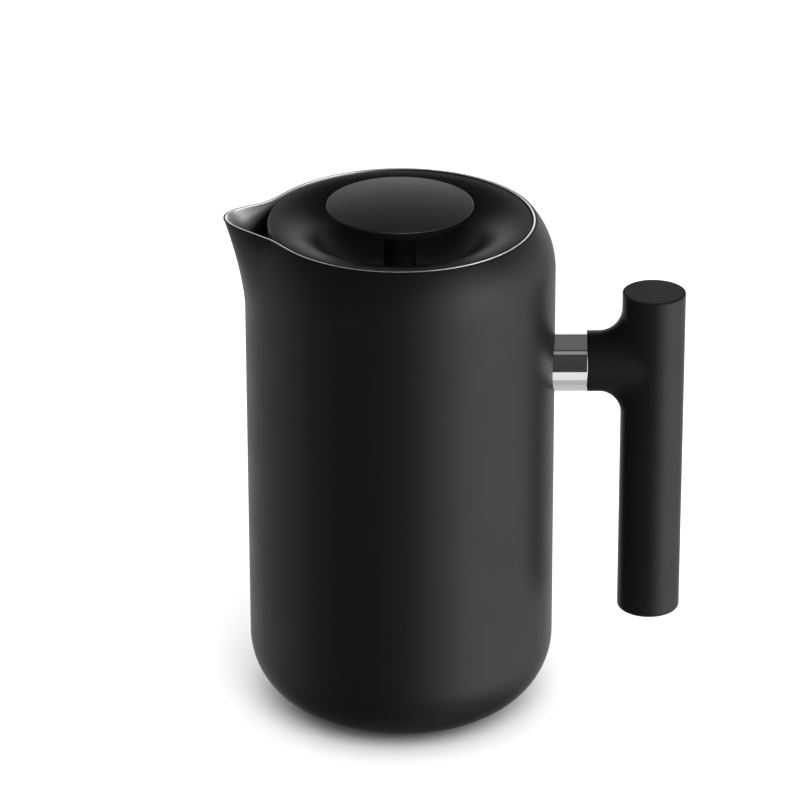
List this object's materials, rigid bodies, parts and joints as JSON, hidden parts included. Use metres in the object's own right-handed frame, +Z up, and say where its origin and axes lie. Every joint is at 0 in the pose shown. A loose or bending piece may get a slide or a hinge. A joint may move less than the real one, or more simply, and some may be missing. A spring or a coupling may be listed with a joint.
{
  "type": "french press",
  "caption": "Double-wall steel french press with a pouring lip, a T-shaped bar handle, a bowl-shaped lid with a strainer skirt, and a plunger with a fine filter.",
  "frame": {"origin": "on the table under the vessel's axis, on the underside of the foot pad", "axes": "+Z up along the vessel's axis and the plunger's travel, +X towards the handle, -X towards the pouring lip"},
  "size_m": [0.1576, 0.106, 0.1877],
  "materials": {
    "powder_black": "matte black powder coat",
    "brushed_steel": "satin, brushed round the bore",
    "plain_steel": "plain machined",
    "polished_steel": "polished",
    "rod_steel": "centreless ground",
    "plate_steel": "tumbled satin",
    "mesh_steel": "woven wire",
    "getter_metal": "sintered",
    "cast_weight": "as cast",
    "insert_brass": "machined",
    "grip_plastic": "fine moulded texture",
    "lid_plastic": "satin moulded",
    "knob_plastic": "fine moulded texture",
    "guide_plastic": "glass-filled, moulded",
    "seal_silicone": "matte silicone",
    "foot_silicone": "matte silicone"
  },
  "bodies": {
    "vessel": {"outer_shell": "powder_black", "inner_liner": "brushed_steel", "vacuum_plug": "plain_steel", "getter": "getter_metal", "foot_pad": "foot_silicone", "handle_stud": "plain_steel", "ferrule": "polished_steel", "grip": "grip_plastic", "handle_washer": "plain_steel", "handle_nut": "plain_steel", "grip_weight": "cast_weight", "grip_cap": "grip_plastic"},
    "lid_seal": {"lid_gasket": "seal_silicone"},
    "lid": {"lid_dish": "lid_plastic", "strainer_skirt": "lid_plastic", "rod_guide": "guide_plastic", "rod_seal": "seal_silicone", "guide_nut": "guide_plastic"},
    "filter": {"support_plate": "plate_steel", "filter_mesh": "mesh_steel", "top_plate": "plate_steel", "wiper_ring": "seal_silicone", "filter_hub": "plate_steel", "filter_nut": "plate_steel"},
    "knob": {"knob_cap": "knob_plastic", "knob_body": "knob_plastic", "knob_insert": "insert_brass", "plunger_rod": "rod_steel"}
  },
  "joints": [
    {"name": "lid_lift", "type": "slide", "parent": "vessel", "child": "lid_seal", "axis": [0, 0, 1], "range_m": [0, 0.175]},
    {"name": "lid_turn", "type": "hinge", "parent": "lid_seal", "child": "lid", "pos_m": [0, 0, 0.146], "axis": [0, 0, 1], "continuous": true},
    {"name": "plunge", "type": "slide", "parent": "lid", "child": "filter", "axis": [0, 0, 1], "range_m": [0, 0.11]},
    {"name": "knob_turn", "type": "hinge", "parent": "filter", "child": "knob", "pos_m": [0, 0, 0.025], "axis": [0, 0, 1], "continuous": true}
  ]
}
